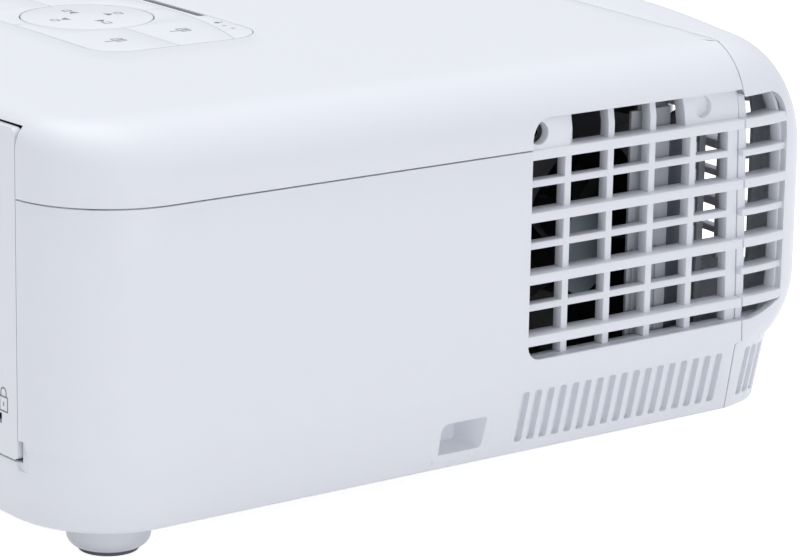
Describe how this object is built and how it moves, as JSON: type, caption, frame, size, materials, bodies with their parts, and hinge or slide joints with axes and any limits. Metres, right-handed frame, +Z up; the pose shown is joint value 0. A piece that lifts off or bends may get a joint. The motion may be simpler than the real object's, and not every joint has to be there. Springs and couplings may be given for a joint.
{
  "type": "projector with built-in disc player",
  "caption": "White table projector with wrap-round ventilation grilles, a keypad on top, a lens behind the front, rear sockets and a slim disc tray in one side.",
  "frame": {"origin": "on the surface the feet stand on, under the middle of the case", "axes": "+Z up, the lens looks along -Y, the sockets face +Y, the disc tray comes out along +X"},
  "size_m": [0.332, 0.276, 0.1265],
  "materials": {
    "case_white": "fine-grained matt moulding",
    "key_white": "satin moulding",
    "dark_window": "polished, dark",
    "black_plastic": "matt",
    "grey_plastic": "matt",
    "socket_black": "matt",
    "rubber_dark": "matt",
    "plated_steel": "zinc plated",
    "screw_steel": "blackened",
    "cast_metal": "as cast",
    "board_green": "lacquered board",
    "lens_glass": "coated, polished",
    "mirror_coat": "coated glass",
    "tray_grey": "satin",
    "wheel_glass": "coated segments"
  },
  "bodies": {
    "case": {"top_cover": "case_white", "lower_case": "case_white", "front_bezel": "case_white", "sensor_windows": "dark_window", "io_panel": "case_white", "hdmi_sockets": "plated_steel", "usb_socket": "plated_steel", "d_sockets": "plated_steel", "round_sockets": "socket_black", "ac_inlet": "socket_black", "status_strip": "case_white", "keypad_base": "black_plastic", "keypad_board": "board_green", "lens_barrel": "black_plastic", "inner_glass": "lens_glass", "engine_housing": "cast_metal", "engine_cover": "cast_metal", "chip_board": "board_green", "chip_heatsink": "cast_metal", "lamp_housing": "black_plastic", "lamp_reflector": "mirror_coat", "lamp_burner": "lens_glass", "wheel_motor": "plated_steel", "drive_housing": "plated_steel", "drive_bracket": "plated_steel", "exhaust_fan": "black_plastic", "air_guides": "grey_plastic", "power_supply": "board_green", "lamp_ballast": "plated_steel", "main_board": "board_green", "speaker": "black_plastic", "screws": "screw_steel"},
    "front_foot": {"foot_front": "case_white", "pad_front": "rubber_dark"},
    "rear_right_foot": {"foot_rear_right": "case_white", "pad_rear_right": "rubber_dark"},
    "rear_left_foot": {"foot_rear_left": "case_white", "pad_rear_left": "rubber_dark"},
    "key_rear_right": {"key_rear_right": "key_white"},
    "key_front_right": {"key_front_right": "key_white"},
    "key_rear_left": {"key_rear_left": "key_white"},
    "key_front_left": {"key_front_left": "key_white"},
    "tilt_ring": {"pad_tilt_ring": "black_plastic"},
    "direction_pad": {"direction_pad": "key_white"},
    "focus_ring": {"focus_ring": "black_plastic"},
    "zoom_ring": {"zoom_ring": "black_plastic"},
    "focus_cell": {"focus_cell": "black_plastic", "front_glass": "lens_glass"},
    "colour_wheel": {"colour_wheel": "wheel_glass"},
    "tray": {"disc_tray": "tray_grey", "tray_chassis": "plated_steel", "tray_front": "case_white", "spindle_motor": "plated_steel", "guide_rods": "plated_steel"},
    "rails": {"tray_rails": "plated_steel"},
    "eject_button": {"eject_button": "case_white"},
    "turntable": {"turntable": "black_plastic"},
    "laser_sled": {"laser_sled": "black_plastic"},
    "lead_screw": {"lead_screw": "plated_steel"},
    "exhaust_rotor": {"exhaust_rotor": "black_plastic"}
  },
  "joints": [
    {"name": "front_foot_height", "type": "slide", "parent": "case", "child": "front_foot", "axis": [0, 0, -1], "range_m": [0, 0.009]},
    {"name": "rear_right_foot_height", "type": "slide", "parent": "case", "child": "rear_right_foot", "axis": [0, 0, -1], "range_m": [0, 0.009]},
    {"name": "rear_left_foot_height", "type": "slide", "parent": "case", "child": "rear_left_foot", "axis": [0, 0, -1], "range_m": [0, 0.009]},
    {"name": "key_rear_right_press", "type": "slide", "parent": "case", "child": "key_rear_right", "axis": [0, 0, -1], "range_m": [0, 0.0005], "stiffness_N_per_m": 800},
    {"name": "key_front_right_press", "type": "slide", "parent": "case", "child": "key_front_right", "axis": [0, 0, -1], "range_m": [0, 0.0005], "stiffness_N_per_m": 800},
    {"name": "key_rear_left_press", "type": "slide", "parent": "case", "child": "key_rear_left", "axis": [0, 0, -1], "range_m": [0, 0.0005], "stiffness_N_per_m": 800},
    {"name": "key_front_left_press", "type": "slide", "parent": "case", "child": "key_front_left", "axis": [0, 0, -1], "range_m": [0, 0.0005], "stiffness_N_per_m": 800},
    {"name": "pad_rock_sideways", "type": "hinge", "parent": "case", "child": "tilt_ring", "pos_m": [-0.036, 0.0513, 0.1232], "axis": [0, 1, 0], "range_deg": [-1.5, 1.5], "stiffness_Nm_per_rad": 0.5},
    {"name": "pad_rock_lengthways", "type": "hinge", "parent": "tilt_ring", "child": "direction_pad", "pos_m": [-0.036, 0.0513, 0.1232], "axis": [1, 0, 0], "range_deg": [-1.5, 1.5], "stiffness_Nm_per_rad": 0.5},
    {"name": "focus_turn", "type": "hinge", "parent": "case", "child": "focus_ring", "pos_m": [0.085, -0.116, 0.066], "axis": [0, -1, 0], "range_deg": [-41, 81]},
    {"name": "focus_shift", "type": "slide", "parent": "case", "child": "focus_cell", "axis": [0, 1, 0], "range_m": [-0.0015, 0.003]},
    {"name": "zoom_turn", "type": "hinge", "parent": "case", "child": "zoom_ring", "pos_m": [0.085, -0.104, 0.066], "axis": [0, -1, 0], "range_deg": [-20, 20]},
    {"name": "wheel_spin", "type": "hinge", "parent": "case", "child": "colour_wheel", "pos_m": [-0.038, -0.012, 0.075], "axis": [1, 0, 0], "continuous": true},
    {"name": "tray_slide", "type": "slide", "parent": "case", "child": "tray", "axis": [1, 0, 0], "range_m": [0, 0.13]},
    {"name": "rail_slide", "type": "slide", "parent": "case", "child": "rails", "axis": [1, 0, 0], "range_m": [0, 0.065]},
    {"name": "eject_press", "type": "slide", "parent": "tray", "child": "eject_button", "axis": [-1, 0, 0], "range_m": [0, 0.0007], "stiffness_N_per_m": 300},
    {"name": "disc_spin", "type": "hinge", "parent": "tray", "child": "turntable", "pos_m": [0.0992, 0.041, 0.0902], "axis": [0, 0, 1], "continuous": true},
    {"name": "sled_slide", "type": "slide", "parent": "tray", "child": "laser_sled", "axis": [0, 1, 0], "range_m": [0, 0.028]},
    {"name": "lead_screw_turn", "type": "hinge", "parent": "tray", "child": "lead_screw", "pos_m": [0.1217, 0.071, 0.0878], "axis": [0, 1, 0], "range_deg": [-5, 3400]},
    {"name": "fan_spin", "type": "hinge", "parent": "case", "child": "exhaust_rotor", "pos_m": [-0.129, -0.053, 0.062], "axis": [0.9613, 0.2756, 0], "continuous": true}
  ],
  "couplings": [
    {"joint": "focus_turn", "follows": "focus_shift", "rad_per_m": 465.42},
    {"joint": "rail_slide", "follows": "tray_slide", "ratio": 0.5},
    {"joint": "lead_screw_turn", "follows": "sled_slide", "rad_per_m": 2094.4}
  ]
}
